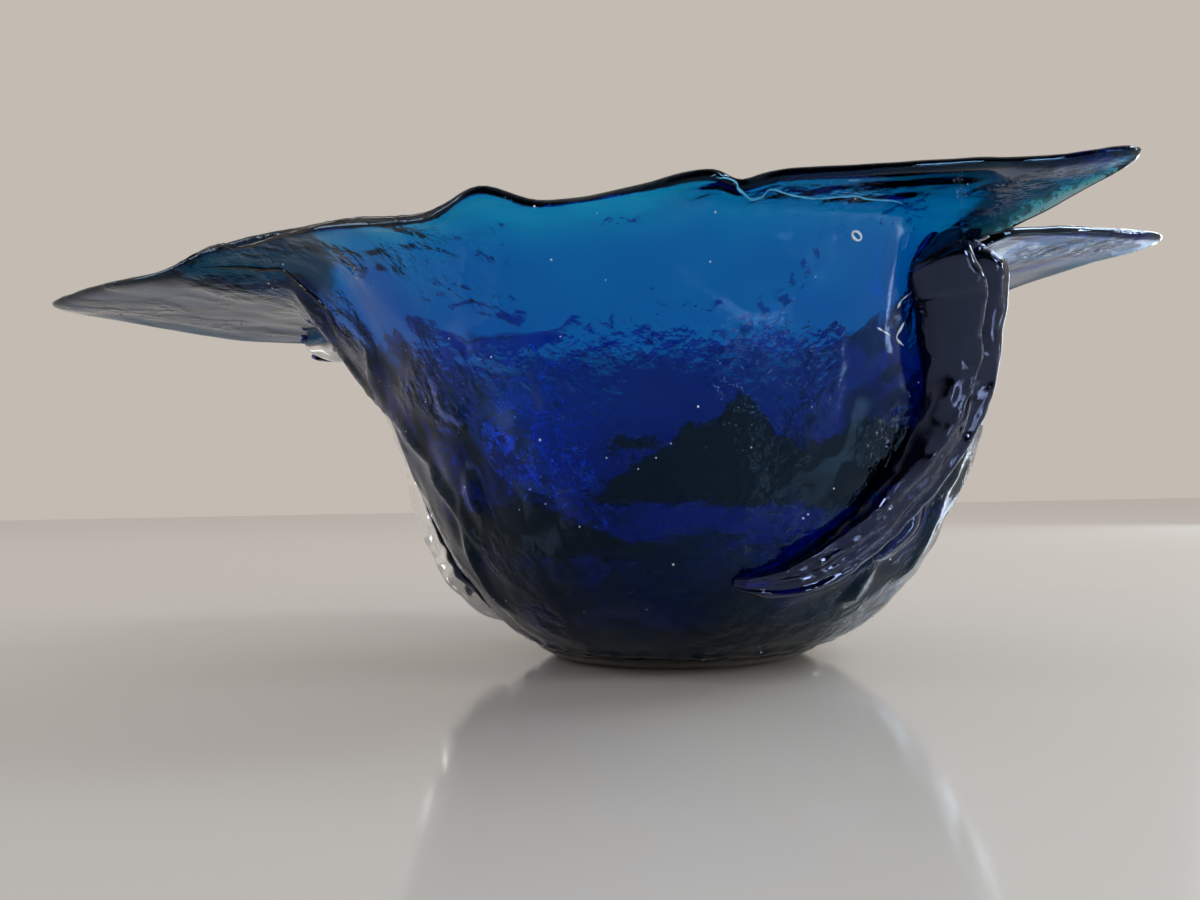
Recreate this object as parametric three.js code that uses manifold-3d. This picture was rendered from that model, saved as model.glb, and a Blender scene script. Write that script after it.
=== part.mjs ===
// Glass sculpture: a hand-worked blue glass bowl with wing-like flanges round its rim,
// a folded glass strap laid down each of two opposite sides, and a thick foot pad.
// Millimetres, z up. The origin lies on the resting plane under the middle of the foot.
import * as THREE from "three";
import Module from "manifold-3d";

// Foot pad
const FOOT_CONTACT_WIDTH = 92; // the flat face the piece rests on is a soft oval
const FOOT_CONTACT_DEPTH = 72;
const FOOT_HEIGHT = 6;
const FOOT_FLARE = 11; // how much wider the pad is at its top than at its contact
const SEAT_GAP = 0.3; // clearance left between two pieces of glass that were fused hot

// Bowl, with the heights of its turns given by how far they lie below the rim
const RIM_HEIGHT = 146;
const NECK_DROP = 7; // the wall ends here and the flange starts
const NECK_RADIUS = 132;
const SHOULDER_DROP = 27;
const SHOULDER_RADIUS = 121;
const BELLY_DROP = 54; // where the cone-like wall turns into the shoulder
const BELLY_RADIUS = 112;
const FLOOR_THICKNESS = 15;
const WALL_AT_FOOT = 14;
const WALL_AT_RIM = 3;
const NARROWEST_FLANGE = 2;
const NECK_ROUNDING = 6; // the bend from wall to flange keeps within this distance
const LONGEST_ROUNDING = 0.4; // and within this share of the way to the next turn
const NECK_SHARPNESS = 0.65; // 1 is a sharp corner, 0 a straight cut across it
const FLANGE_CROWN = 0.12; // share of its own rise by which the flange bows up
const CROWN_PLACE = 0.6; // share of the flange's reach at which it does

// Straps
const STRAP_WIDTH = 33;
const STRAP_THICKNESS = 11;
const STRAP_BITE = 5; // how far the raw strap reaches into the wall before it is trimmed to it
const STRAP_GROOVE = 0.45; // share of the thickness lost along the fold between its rolls
const GROOVE_PLACE = 0.25; // where the fold runs, from -1 to 1 across the strap
const STRAP_EDGE = 0.15; // share of the thickness left at its two long edges
const STRAP_LEAN = -0.25; // its face leans down by this much of a unit outwards
const FRONT_STRAP_TURN = -45; // degrees about z, from the right
const BACK_STRAP_TURN = 162;

// The rim, once round from the tip of the left wing: degrees about z, millimetres out
// from the neck, millimetres above the rim height.
const RIM = [
  [-178, 120, -1],
  [-169, 90, -1],
  [-161, 62, -1],
  [-157.5, 49, 4],
  [-151, 33, 6],
  [-139, 20, 4],
  [-122, 15, -1],
  [-118, 17, 1],
  [-114.5, 16, 3],
  [-111, 9, 0],
  [-101, 8, 0],
  [-92, 15, 1],
  [-89, 15, 1],
  [-86.6, 13, -1],
  [-84, 18, -0.5],
  [-72, 27, 0.5],
  [-63, 36, 2],
  [-58, 43, 2.5],
  [-53.5, 56, 4],
  [-52.6, 40, 0],
  [-52, 24, -4],
  [-51.5, 8, -5],
  [-49, -7, -5],
  [-41, -7, -3],
  [-38, 1, 2],
  [-31, 13, 5],
  [-24, 28, 7],
  [-15, 53, 8],
  [-12, 33, 5],
  [-8, 17, 2],
  [-2, 4, 0],
  [12, -8, 4],
  [26, -1, 1],
  [42, 8, -4],
  [57, 8, -6],
  [70, 8, 3],
  [86, 9, 1],
  [102, 8, 0],
  [115, 12, 2],
  [126, 27, 1],
  [137, 38, -2],
  [147, 30, -6],
  [154, 12, -8],
  [160, 8, -8],
  [164.5, 36, -7],
  [168, 64, -6],
  [172, 82, -5],
  [177, 102, -2],
];

// How far the neck stands out from its own radius: degrees, millimetres.
const NECK_SWELL = [
  [-180, 16],
  [-160, 19],
  [-146, 8],
  [-120, 3],
  [-90, 1],
  [-62, 0],
  [-50, -8],
  [-40, -9],
  [-28, -6],
  [0, -6],
  [16, -12],
  [40, 0],
  [90, 2],
  [140, 4],
  [160, 8],
];

// How much higher the bend from wall to flange lies, likewise.
const NECK_LIFT = [
  [-168, 0],
  [-150, 4],
  [-128, 0],
  [-97, 0],
  [-87, 7],
  [-62, 8],
  [-54, 2],
  [-50, 0],
  [-40, 0],
  [-30, 6],
  [-8, 5],
  [10, 0],
];

// How far the belly stands out, likewise.
const BELLY_SWELL = [
  [-176, 3],
  [-120, 1],
  [-80, 0],
  [-22, 12],
  [50, 2],
];

// The wall from the foot to the belly: radius and height as shares of the belly's, and
// how much of the belly's swell it has there.
const WALL_SHARES = [
  [0.6, 0.135, 0.5],
  [0.735, 0.335, 0.85],
  [0.825, 0.545, 1],
  [0.92, 0.785, 1],
];
const SWELL_AT_BELLY = 0.7;
const SWELL_AT_SHOULDER = 0.35;

// The way each strap runs over the wall: degrees from its own turn, height as a share of
// the rim's, share of its full width and thickness there, millimetres off the wall.
const FRONT_STRAP_RUN = [
  [-35, 0.24, 0.12],
  [-31, 0.243, 0.34],
  [-22, 0.26, 0.58],
  [-12, 0.308, 0.8],
  [-6, 0.397, 0.92],
  [-2, 0.534, 1],
  [0, 0.712, 1],
  [0, 0.877, 1],
  [0, 0.959, 0.97],
  [0, 1.007, 0.8],
  [0, 1.027, 0.35],
];
const BACK_STRAP_RUN = [
  [9, 0.096, 0.12],
  [8, 0.11, 0.34],
  [5, 0.164, 0.6],
  [2, 0.26, 0.8],
  [0, 0.384, 0.92],
  [0, 0.534, 1],
  [0, 0.699, 1],
  [1, 0.822, 1],
  [3, 0.877, 0.85],
  [5, 0.905, 0.66, 4],
  [6, 0.92, 0.58, 14],
  [6, 0.922, 0.45, 25],
];

// The pad's edge: share of the way from its contact to its top, sideways and upwards.
const FOOT_EDGE = [
  [0, 0],
  [0.4, 0.14],
  [0.75, 0.5],
  [1, 1],
];

const FOOT_STEPS = 64;
const SPAN_STEPS = 2; // steps between two given heights of the wall
const TURN_STEP = 4.5; // widest step round the rim, in degrees
const STRAP_STEPS = 30;
const ROLL_STEPS = 5; // steps over each of a strap's two rolls
const BULGE_POWER = 0.7; // how quickly the wall thins from foot to rim

const kernel = await Module();
kernel.setup();
const turns = THREE.MathUtils.degToRad;

// A smooth closed curve through points given as degrees and a value.
function ringOf(pairs) {
  return (degrees) => {
    const wrapped = THREE.MathUtils.euclideanModulo(degrees - pairs[0][0], 360) + pairs[0][0];
    let next = pairs.findIndex((pair) => pair[0] > wrapped);
    if (next < 0) next = pairs.length;
    const from = pairs[next - 1];
    const to = next < pairs.length ? pairs[next] : [pairs[0][0] + 360, pairs[0][1]];
    const share = (wrapped - from[0]) / (to[0] - from[0]);
    return THREE.MathUtils.lerp(from[1], to[1], THREE.MathUtils.smoothstep(share, 0, 1));
  };
}

const neckSwell = ringOf(NECK_SWELL);
const neckLift = ringOf(NECK_LIFT);
const bellySwell = ringOf(BELLY_SWELL);
const footTopRadius = FOOT_CONTACT_WIDTH / 2 + FOOT_FLARE;
const undersideHeight = FOOT_HEIGHT + SEAT_GAP;
const bellyHeight = RIM_HEIGHT - BELLY_DROP;
const up = new THREE.Vector3(0, 0, 1);

// The rim as a closed curve in space.
const rimCurve = new THREE.CatmullRomCurve3(
  RIM.map(([degrees, reach, rise]) =>
    new THREE.Vector3(NECK_RADIUS + reach, 0, RIM_HEIGHT + rise).applyAxisAngle(
      up,
      turns(degrees),
    ),
  ),
  true,
  "centripetal",
);

// Rim points, close enough together that no step is wider than TURN_STEP.
function rimPoints() {
  const points = [];
  RIM.forEach(([degrees], index) => {
    const following = index + 1 < RIM.length ? RIM[index + 1][0] : RIM[0][0] + 360;
    const steps = Math.max(1, Math.round((following - degrees) / TURN_STEP));
    for (let step = 0; step < steps; step++) {
      points.push(rimCurve.getPoint((index + step / steps) / RIM.length));
    }
  });
  return points;
}

// The wall's outer profile at one direction: radius in x, height in z.
function wallProfile(azimuth, rimPoint) {
  const swell = neckSwell(THREE.MathUtils.radToDeg(azimuth));
  const fullness = bellySwell(THREE.MathUtils.radToDeg(azimuth));
  const points = [new THREE.Vector3(footTopRadius, 0, undersideHeight)];
  for (const [radiusShare, heightShare, swellShare] of WALL_SHARES) {
    const radius = BELLY_RADIUS * radiusShare + fullness * swellShare;
    points.push(new THREE.Vector3(radius, 0, bellyHeight * heightShare));
  }
  const belly = BELLY_RADIUS + fullness * SWELL_AT_BELLY;
  const shoulder = SHOULDER_RADIUS + swell / 2 + fullness * SWELL_AT_SHOULDER;
  points.push(new THREE.Vector3(belly, 0, bellyHeight));
  points.push(new THREE.Vector3(shoulder, 0, RIM_HEIGHT - SHOULDER_DROP));
  const rim = new THREE.Vector3(Math.hypot(rimPoint.x, rimPoint.y), 0, rimPoint.z);
  const lift = neckLift(THREE.MathUtils.radToDeg(azimuth));
  const neckRadius = Math.min(NECK_RADIUS + swell, rim.x - NARROWEST_FLANGE);
  const neckHeight = Math.min(RIM_HEIGHT - NECK_DROP + lift, rim.z - NARROWEST_FLANGE);
  const neck = new THREE.Vector3(neckRadius, 0, neckHeight);
  const towards = (goal) => {
    const way = goal.clone().sub(neck);
    const share = Math.min(LONGEST_ROUNDING, NECK_ROUNDING / way.length());
    return neck.clone().addScaledVector(way, share);
  };
  const middle = neck.clone().lerp(rim, CROWN_PLACE);
  middle.z += (rim.z - neck.z) * FLANGE_CROWN;
  const below = towards(points.at(-1));
  const above = towards(middle);
  const bend = below.clone().lerp(above, 0.5).lerp(neck, NECK_SHARPNESS);
  points.push(below, bend, above, middle, rim);
  return new THREE.CatmullRomCurve3(points, false, "centripetal");
}

// Points up one profile, from the outer face moved by a distance given per share of the way.
function wallPoints(rimPoint, inset) {
  const azimuth = Math.atan2(rimPoint.y, rimPoint.x);
  const profile = wallProfile(azimuth, rimPoint);
  const rows = (profile.points.length - 1) * SPAN_STEPS;
  const found = [];
  for (let row = 0; row <= rows; row++) {
    const share = row / rows;
    const point = profile.getPoint(share);
    const along = profile.getTangent(share);
    const inward = new THREE.Vector3(-along.z, 0, along.x);
    point.addScaledVector(inward, inset(share));
    found.push(point.applyAxisAngle(up, azimuth));
  }
  return found;
}

// A closed skin over rings of equal length, drawn in to a point at each end.
function skin(rings, first, last) {
  const count = rings[0].length;
  const at = (ring, index) => 1 + ring * count + (index % count);
  const end = 1 + rings.length * count;
  const faces = [];
  for (let index = 0; index < count; index++) {
    faces.push(0, at(0, index + 1), at(0, index));
    faces.push(at(rings.length - 1, index), at(rings.length - 1, index + 1), end);
    for (let ring = 0; ring + 1 < rings.length; ring++) {
      const corner = at(ring, index);
      const across = at(ring + 1, index + 1);
      faces.push(corner, at(ring, index + 1), across);
      faces.push(corner, across, at(ring + 1, index));
    }
  }
  const places = [first, ...rings.flat(), last].flatMap((point) => point.toArray());
  const geometry = new THREE.BufferGeometry();
  geometry.setAttribute("position", new THREE.Float32BufferAttribute(places, 3));
  geometry.setIndex(faces);
  return geometry;
}

function solidOf(geometry) {
  return new kernel.Manifold(
    new kernel.Mesh({
      numProp: 3,
      vertProperties: new Float32Array(geometry.getAttribute("position").array),
      triVerts: new Uint32Array(geometry.index.array),
    }),
  );
}

function geometryOf(solid) {
  const mesh = solid.getMesh();
  const geometry = new THREE.BufferGeometry();
  geometry.setAttribute("position", new THREE.BufferAttribute(mesh.vertProperties, 3));
  geometry.setIndex(new THREE.BufferAttribute(mesh.triVerts, 1));
  return geometry;
}

// Rings of the wall, row by row from the foot to the rim.
function wallRings(inset) {
  const columns = rimPoints().map((point) => wallPoints(point, inset));
  return columns[0].map((_, row) => columns.map((column) => column[row]));
}

function bowlGeometry() {
  const thickness = (share) =>
    THREE.MathUtils.lerp(WALL_AT_FOOT, WALL_AT_RIM, Math.pow(share, BULGE_POWER));
  const outside = wallRings(() => 0);
  const inside = wallRings(thickness).reverse();
  const underside = new THREE.Vector3(0, 0, undersideHeight);
  const floor = new THREE.Vector3(0, 0, undersideHeight + FLOOR_THICKNESS);
  return skin([...outside, ...inside], underside, floor);
}

// The bowl filled up to its rim and a seat gap larger all round: what a strap is trimmed
// by. Between its corners a faceted skin comes closer, so the corners move out further.
function trimmingSolid() {
  const outside = wallRings(() => 0);
  const rimTop = wallRings(() => WALL_AT_RIM).pop();
  const underside = new THREE.Vector3(0, 0, undersideHeight);
  const lid = new THREE.Vector3(0, 0, RIM_HEIGHT);
  const geometry = skin([...outside, rimTop], underside, lid);
  geometry.computeVertexNormals();
  const place = geometry.getAttribute("position");
  const normal = geometry.getAttribute("normal");
  const growth = 1.3 * SEAT_GAP;
  for (let index = 0; index < place.array.length; index++) {
    place.array[index] += growth * normal.array[index];
  }
  return solidOf(geometry);
}

// The wall's outer radius at a direction and height, up to the start of the flange.
function wallRadius(degrees, height) {
  const farRim = new THREE.Vector3(2 * NECK_RADIUS, 0, RIM_HEIGHT);
  const profile = wallProfile(turns(degrees), farRim);
  const neckShare = (profile.points.length - 3) / (profile.points.length - 1);
  let low = 0;
  let high = neckShare;
  for (let halving = 0; halving < 20; halving++) {
    const middle = (low + high) / 2;
    if (profile.getPoint(middle).z < height) low = middle;
    else high = middle;
  }
  return profile.getPoint(low).x;
}

// A strap's outline across its run, as pairs of sideways and outward distance: two rolls
// with a groove between them, and a flat back that reaches into the wall.
function strapOutline(share, stand) {
  const half = (STRAP_WIDTH / 2) * share;
  const rise = STRAP_THICKNESS * Math.min(1, share);
  const back = -STRAP_BITE - stand;
  const points = [[-half, back]];
  const steps = 2 * ROLL_STEPS;
  for (let step = 0; step <= steps; step++) {
    const first = step <= ROLL_STEPS;
    const within = (first ? step : step - ROLL_STEPS) / ROLL_STEPS;
    const across = first
      ? THREE.MathUtils.lerp(-1, GROOVE_PLACE, within)
      : THREE.MathUtils.lerp(GROOVE_PLACE, 1, within);
    const roll = Math.sqrt(1 - Math.pow(2 * within - 1, 2));
    const nearFold = first ? within > 0.5 : within < 0.5;
    const floor = nearFold ? 1 - STRAP_GROOVE : STRAP_EDGE;
    points.push([half * across, rise * (floor + (1 - floor) * roll)]);
  }
  points.push([half, back]);
  return points;
}

// One strap: its outline carried along its run, then trimmed to the wall.
function strapGeometry(stations, turn, trimming) {
  const run = stations.map(([degrees, heightShare, , stand = 0]) => {
    const height = RIM_HEIGHT * heightShare;
    const radius = wallRadius(turn + degrees, height) + stand;
    return new THREE.Vector3(radius, 0, height).applyAxisAngle(up, turns(turn + degrees));
  });
  const path = new THREE.CatmullRomCurve3(run, false, "centripetal");
  const shares = new THREE.CatmullRomCurve3(
    stations.map(([, , share, stand = 0], index) => new THREE.Vector3(index, share, stand)),
    false,
    "centripetal",
  );
  const rings = [];
  for (let step = 0; step <= STRAP_STEPS; step++) {
    const way = step / STRAP_STEPS;
    const centre = path.getPoint(way);
    const along = path.getTangent(way);
    const outward = new THREE.Vector3(centre.x, centre.y, 0).normalize();
    outward.z = STRAP_LEAN;
    const sideways = new THREE.Vector3().crossVectors(along, outward).normalize();
    outward.crossVectors(sideways, along).normalize();
    const { y: share, z: stand } = shares.getPoint(way);
    rings.push(
      strapOutline(share, stand).map(([across, out]) =>
        centre.clone().addScaledVector(sideways, across).addScaledVector(outward, out),
      ),
    );
  }
  const middleOf = (ring) =>
    ring
      .reduce((sum, point) => sum.add(point), new THREE.Vector3())
      .divideScalar(ring.length);
  const raw = solidOf(skin(rings, middleOf(rings[0]), middleOf(rings[STRAP_STEPS])));
  const bodies = raw.subtract(trimming).decompose();
  bodies.sort((a, b) => b.volume() - a.volume());
  return geometryOf(bodies[0]);
}

// The foot pad: from its oval contact it flares up, round a soft edge, to the bowl's
// round underside.
function footGeometry() {
  const rings = FOOT_EDGE.map(([share, heightShare]) => {
    const halfWidth = THREE.MathUtils.lerp(FOOT_CONTACT_WIDTH / 2, footTopRadius, share);
    const halfDepth = THREE.MathUtils.lerp(FOOT_CONTACT_DEPTH / 2, footTopRadius, share);
    return new THREE.EllipseCurve(0, 0, halfWidth, halfDepth)
      .getSpacedPoints(FOOT_STEPS)
      .slice(0, FOOT_STEPS)
      .map((point) => new THREE.Vector3(point.x, point.y, heightShare * FOOT_HEIGHT));
  });
  return skin(rings, new THREE.Vector3(), new THREE.Vector3(0, 0, FOOT_HEIGHT));
}

function glass(colour, roughness) {
  return new THREE.MeshStandardMaterial({ color: colour, roughness, metalness: 0 });
}

function piece(name, geometry, material) {
  const mesh = new THREE.Mesh(geometry, material);
  mesh.name = name;
  return mesh;
}

const trimming = trimmingSolid();
const sculpture = new THREE.Group();
sculpture.name = "glass_sculpture";
sculpture.add(
  piece("bowl", bowlGeometry(), glass(0x0a4fa0, 0.05)),
  piece(
    "front_strap",
    strapGeometry(FRONT_STRAP_RUN, FRONT_STRAP_TURN, trimming),
    glass(0x10163f, 0.06),
  ),
  piece(
    "back_strap",
    strapGeometry(BACK_STRAP_RUN, BACK_STRAP_TURN, trimming),
    glass(0x0f153c, 0.07),
  ),
  piece("foot_pad", footGeometry(), glass(0x0b1430, 0.12)),
);

export default sculpture;
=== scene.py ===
# %% [markdown]
# # A hand-worked blue glass bowl
# The bowl is one gather of cobalt glass, spun open and drawn out into wings at the rim.
# Two straps of hot glass lie down its sides, and a thick pad carries it.
# The frame gives each piece's real size and place. These cells set up the camera and the
# studio, and then give each piece its glass and its worked surface.

import math

import bmesh
import bpy
from mathutils import Matrix, Vector, noise
from mathutils.bvhtree import BVHTree
from mathutils.kdtree import KDTree


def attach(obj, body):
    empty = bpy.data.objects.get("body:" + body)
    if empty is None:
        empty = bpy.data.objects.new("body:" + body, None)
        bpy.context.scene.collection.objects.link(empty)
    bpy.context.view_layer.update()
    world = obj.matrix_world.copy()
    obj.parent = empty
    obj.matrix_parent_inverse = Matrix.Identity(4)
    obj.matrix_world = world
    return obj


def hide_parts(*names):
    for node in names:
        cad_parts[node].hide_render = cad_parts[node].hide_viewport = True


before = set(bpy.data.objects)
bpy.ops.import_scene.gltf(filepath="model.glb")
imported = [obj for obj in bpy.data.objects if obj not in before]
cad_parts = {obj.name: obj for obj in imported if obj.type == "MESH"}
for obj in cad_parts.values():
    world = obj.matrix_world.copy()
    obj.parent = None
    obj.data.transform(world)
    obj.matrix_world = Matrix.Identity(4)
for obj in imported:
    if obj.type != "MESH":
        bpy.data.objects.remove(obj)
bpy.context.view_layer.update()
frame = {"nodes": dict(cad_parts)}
nodes = frame["nodes"]
print("nodes:", ", ".join(nodes))

# %% [markdown]
# ## The camera
# The bowl was seen from low down and close by, a little left of its middle, so the wings
# sweep past the lens and their undersides show. A camera could be made to track the bowl,
# but three turns say plainly how it was held: it looks level along +Y, is then tipped up a
# little, and is rolled until the shelf's horizon rises to the right.

# %% Camera
EYE = Vector((-0.0306, -0.387, 0.063))
TIP_UP = 3.10  # degrees, as is the roll
ROLL = -1.09
LENS = 27.72  # mm, as is the sensor's width
SENSOR = 36
NEAREST = 0.01


def in_scene(name, data):
    """A new object at the origin that shows some data: a mesh, a lamp or a camera."""
    made = bpy.data.objects.new(name, data)
    bpy.context.scene.collection.objects.link(made)
    return made


camera_data = bpy.data.cameras.new("camera")
camera_data.lens = LENS
camera_data.sensor_width = SENSOR
camera_data.clip_start = NEAREST
camera = in_scene("camera", camera_data)
camera.matrix_world = (
    Matrix.Translation(EYE)
    @ Matrix.Rotation(math.radians(90 + TIP_UP), 4, "X")
    @ Matrix.Rotation(math.radians(ROLL), 4, "Z")
)
bpy.context.scene.camera = camera
print("camera", tuple(round(v, 3) for v in EYE), "lens", LENS)

# %% [markdown]
# ## Helpers for node trees
# Every finish here is a small tree of nodes. A few helpers keep the cells short. Each takes
# plain values and sockets alike: a socket is joined, and a plain value is written down.


# %% Node helpers
def put(tree, value, target):
    """Join a socket to the target socket, or write a plain value there."""
    if isinstance(value, bpy.types.NodeSocket):
        tree.links.new(value, target)
    else:
        target.default_value = value


def add(tree, kind, **values):
    """A new node. Values go to the node, or to its sockets when it has no such field."""
    node = tree.nodes.new(kind)
    for name, value in values.items():
        if hasattr(node, name):
            setattr(node, name, value)
        else:
            put(tree, value, node.inputs[name.replace("_", " ")])
    return node


def sums(tree, operation, *values, kind="ShaderNodeMath"):
    """What a Math node makes of its values."""
    node = add(tree, kind, operation=operation)
    for value, target in zip(values, node.inputs):
        put(tree, value, target)
    return node.outputs[0]


def split(tree, place):
    """The x, y and z of a place."""
    return add(tree, "ShaderNodeSeparateXYZ", Vector=place).outputs


# %% [markdown]
# ## The studio
# Clear glass shows whatever is behind it and at its sides, so the studio matters as much
# as the glass. The floor is plain and pale, with a light polish. The background is pale
# for the camera and for rays that pass through the glass. Reflections see it pale at the
# back and at both sides, and dim in front, as a room is behind the person who looks, so
# the blue stays deep. Six soft lamps stand in for windows: polished glass shows its form
# by what it mirrors, so most are narrow and stand where a roll or an edge mirrors them.

# %% Floor
FLOOR_TONE = (0.47, 0.44, 0.40, 1)
FLOOR_SIZE = 12
FLOOR_ROUGHNESS = 0.11

bpy.context.scene.view_settings.view_transform = "Standard"

bpy.ops.mesh.primitive_plane_add(size=FLOOR_SIZE)
floor = bpy.context.object
floor.name = "floor"
floor_paint = bpy.data.materials.new("floor_paint")
floor_paint.use_nodes = True
floor_shader = floor_paint.node_tree.nodes["Principled BSDF"]
floor_shader.inputs["Base Color"].default_value = FLOOR_TONE
floor_shader.inputs["Roughness"].default_value = FLOOR_ROUGHNESS
floor.data.materials.append(floor_paint)
print("floor", FLOOR_SIZE, "m across")

# %% Background
BACK_TONE = (0.55, 0.50, 0.45, 1)
FRONT_TONE = (0.02, 0.02, 0.025, 1)
AMBIENT_TONE = (0.62, 0.62, 0.63, 1)
SIDE_SHARE = 0.8  # how much further round the two sides the reflected paleness reaches
DIM_UP_TO = -0.35  # a reflection that looks less far back than this sees the front tone
PALE_FROM = 0.5  # and one that looks farther back than this sees the back tone

world = bpy.data.worlds.new("studio")
bpy.context.scene.world = world
world.use_nodes = True
sky = world.node_tree
sky.nodes.clear()


def mixed(tree, share, first, second):
    """A colour between two: each is a colour or the socket of one."""
    node = add(tree, "ShaderNodeMix", data_type="RGBA", Factor=share)
    for value, target in zip((first, second), [s for s in node.inputs if s.type == "RGBA"]):
        put(tree, value, target)
    return [s for s in node.outputs if s.type == "RGBA"][0]


side, back, _ = split(sky, add(sky, "ShaderNodeTexCoord").outputs["Generated"])
turned = sums(sky, "MULTIPLY_ADD", sums(sky, "ABSOLUTE", side), SIDE_SHARE, back)
behind = add(sky, "ShaderNodeMapRange", Value=turned, From_Min=DIM_UP_TO, From_Max=PALE_FROM)
mirrored = mixed(sky, behind.outputs[0], FRONT_TONE, BACK_TONE)

rays = add(sky, "ShaderNodeLightPath").outputs
seen = sums(sky, "MAXIMUM", rays["Is Camera Ray"], rays["Is Transmission Ray"])
around = mixed(sky, rays["Is Glossy Ray"], AMBIENT_TONE, mirrored)
glow = add(sky, "ShaderNodeBackground", Color=mixed(sky, seen, around, BACK_TONE))
add(sky, "ShaderNodeOutputWorld", Surface=glow.outputs[0])
print("background", BACK_TONE[:3])

# %% Lamps
WHITE = (1, 1, 1)
COOL = (0.75, 0.87, 1)
MIDDLE = (0, 0, 0.1)
FRONT_STRAP_AT = (0.09, -0.09, 0.12)

# name, place, what it faces, width and height in metres, watts, tone
LAMPS = (
    ("right_window", (1.13, -0.89, 0.97), MIDDLE, (0.25, 0.8), 6, WHITE),
    ("side_window", (1.13, 0.0, 1.06), FRONT_STRAP_AT, (0.35, 0.6), 12, COOL),
    ("rear_window", (1.10, 1.00, 0.55), MIDDLE, (0.4, 0.9), 8, COOL),
    ("low_window", (1.25, -0.32, 0.30), FRONT_STRAP_AT, (0.08, 0.34), 3, WHITE),
    ("left_fill", (-1.4, -0.3, 0.7), (0, 0, 0.08), (0.3, 0.7), 3, WHITE),
    ("front_window", (0.62, -1.3, 0.30), (0.09, -0.12, 0.14), (0.28, 0.36), 4, WHITE),
)


def window_lamp(name, place, target, size, watts, tone):
    """A soft rectangular lamp that faces a target. Rays through the glass don't see it."""
    data = bpy.data.lights.new(name, "AREA")
    data.shape = "RECTANGLE"
    data.size, data.size_y = size
    data.energy = watts
    data.color = tone
    lamp = in_scene(name, data)
    lamp.location = place
    lamp.rotation_euler = (Vector(target) - Vector(place)).to_track_quat("-Z", "Y").to_euler()
    lamp.visible_transmission = False


for lamp_values in LAMPS:
    window_lamp(*lamp_values)
print("lamps:", len(LAMPS))

# %% [markdown]
# ## The glass
# Blue glass has no colour of its own surface: it is clear there, and the light that
# crosses it loses red first and green next. A blue surface would tint thick and thin
# places alike. So each glass is a clear shader on a closed wall of true thickness, with a
# plain absorption inside. Thin wings come out grey (helped by painted shade), one wall
# azure, two walls deep blue, and the solid foot nearly black. The surface carries fine
# ripples in patches, worked into it, and the painted shade of the next cells. The straps
# are of a heavier glass, which bends light more, so they mirror more.

# %% Glass materials
CLEAR = (1, 1, 1, 1)
GLINT = (0.25, 0.55, 1, 1)  # tone of what the bowl mirrors
SHEEN = (0.42, 0.54, 1, 1)  # tone of what the straps mirror
STRAP_TONE = (0.12, 0.17, 0.6, 1)
GLASS_IOR = 1.5
HEAVY_GLASS_IOR = 1.8
PATCH = 6  # a calm patch of skin is as wide as this many ripples
PATCH_EDGE = (0.42, 0.6)  # the noise level up to which skin is calm, and that of full ripples


def noise_at(tree, place, scale, detail, **more):
    """A noise that is read at a place."""
    return add(tree, "ShaderNodeTexNoise", Vector=place, Scale=scale, Detail=detail, **more)


def ramp(tree, value, low, high):
    """A smooth step from 0 at low to 1 at high."""
    node = add(
        tree,
        "ShaderNodeMapRange",
        interpolation_type="SMOOTHSTEP",
        Value=value,
        From_Min=low,
        From_Max=high,
    )
    return node.outputs[0]


def glass(
    name,
    depth_colour,
    density,
    gloss,
    glint,
    ripple_scale,
    ripple_depth,
    tone=CLEAR,
    ior=GLASS_IOR,
    clear_share=1,
):
    """Glass, coloured by the depth of it that light crosses."""
    made = bpy.data.materials.new(name)
    made.use_nodes = True
    tree = made.node_tree
    surface = tree.nodes["Principled BSDF"].inputs
    surface["Base Color"].default_value = tone
    surface["Roughness"].default_value = 0
    surface["IOR"].default_value = ior
    surface["Specular IOR Level"].default_value = gloss
    surface["Specular Tint"].default_value = glint
    surface["Transmission Weight"].default_value = clear_share
    absorb = add(tree, "ShaderNodeVolumeAbsorption", Color=depth_colour, Density=density)
    put(tree, absorb.outputs[0], tree.nodes["Material Output"].inputs["Volume"])
    place = add(tree, "ShaderNodeTexCoord").outputs["Object"]
    ripples = noise_at(tree, place, ripple_scale, 3).outputs[0]
    patches = noise_at(tree, place, ripple_scale / PATCH, 1).outputs[0]
    height = sums(tree, "MULTIPLY", ripples, ramp(tree, patches, *PATCH_EDGE))
    relief = add(tree, "ShaderNodeBump", Strength=1, Distance=ripple_depth, Height=height)
    put(tree, relief.outputs[0], surface["Normal"])
    return made


bowl_glass = glass(
    "bowl_glass",
    depth_colour=(0.0, 0.806, 0.952, 1),
    density=1400,
    gloss=0.14,
    glint=GLINT,
    ripple_scale=190,
    ripple_depth=0.0012,
)
strap_glass = glass(
    "strap_glass",
    depth_colour=(0.0, 0.15, 0.84, 1),
    density=1500,
    gloss=0.9,
    glint=SHEEN,
    ripple_scale=55,
    ripple_depth=0.0012,
    tone=STRAP_TONE,
    ior=HEAVY_GLASS_IOR,
)
foot_glass = glass(
    "foot_glass",
    depth_colour=(0.0, 0.3, 0.7, 1),
    density=1400,
    gloss=0.25,
    glint=CLEAR,
    ripple_scale=80,
    ripple_depth=0.0003,
)
print("glass:", bowl_glass.name, strap_glass.name, foot_glass.name)
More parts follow.
